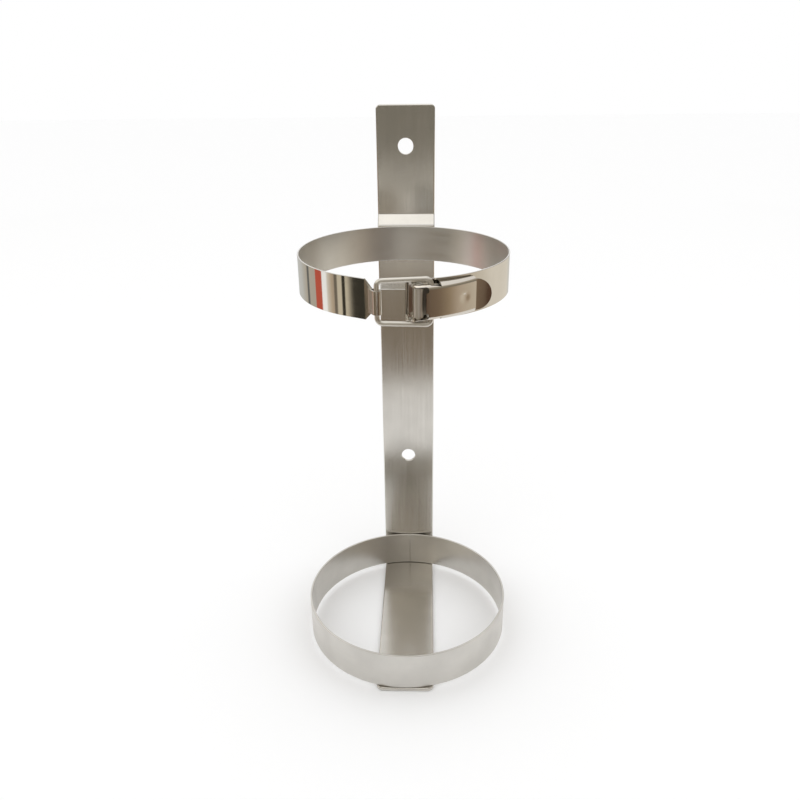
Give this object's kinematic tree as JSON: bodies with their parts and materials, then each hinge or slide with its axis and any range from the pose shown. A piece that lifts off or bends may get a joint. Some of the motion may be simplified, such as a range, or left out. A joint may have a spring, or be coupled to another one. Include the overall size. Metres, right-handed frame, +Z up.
{
  "type": "fire extinguisher bracket",
  "caption": "Wall bracket in sheet stainless steel for a fire extinguisher: upright strap with foot, seat ring below, and opening clamp band with toggle latch above.",
  "frame": {"origin": "on the wall, midway between the two wall holes", "axes": "+Z up along the strap, +Y into the wall, -Y towards the room, +X to the right as seen from the room"},
  "size_m": [0.147, 0.1507, 0.3735],
  "materials": {
    "brushed_sheet": "satin stainless steel, fine cross grain",
    "satin_sheet": "satin stainless steel, grain along the strip",
    "polished_sheet": "stainless steel strip, bright rolled",
    "bright_wire": "drawn stainless wire, bright",
    "pressed_lever": "pressed stainless steel, polished"
  },
  "bodies": {
    "bracket": {"back_strap": "brushed_sheet", "base_ring": "satin_sheet", "clamp_band": "polished_sheet", "hinge_leaf": "polished_sheet", "hinge_pin": "bright_wire"},
    "lever": {"toggle_lever": "pressed_lever"},
    "bail": {"wire_bail": "bright_wire"}
  },
  "joints": [
    {"name": "lever_hinge", "type": "hinge", "parent": "bracket", "child": "lever", "pos_m": [0.0103, -0.14663, 0.055], "axis": [0, 0, -1], "range_deg": [0, 150]},
    {"name": "bail_hinge", "type": "hinge", "parent": "bracket", "child": "bail", "pos_m": [-0.01301, -0.14657, 0.055], "axis": [0, 0, -1], "range_deg": [0, 32.55]}
  ],
  "couplings": [
    {"joint": "bail_hinge", "follows": "lever_hinge", "ratio": 0.217}
  ]
}
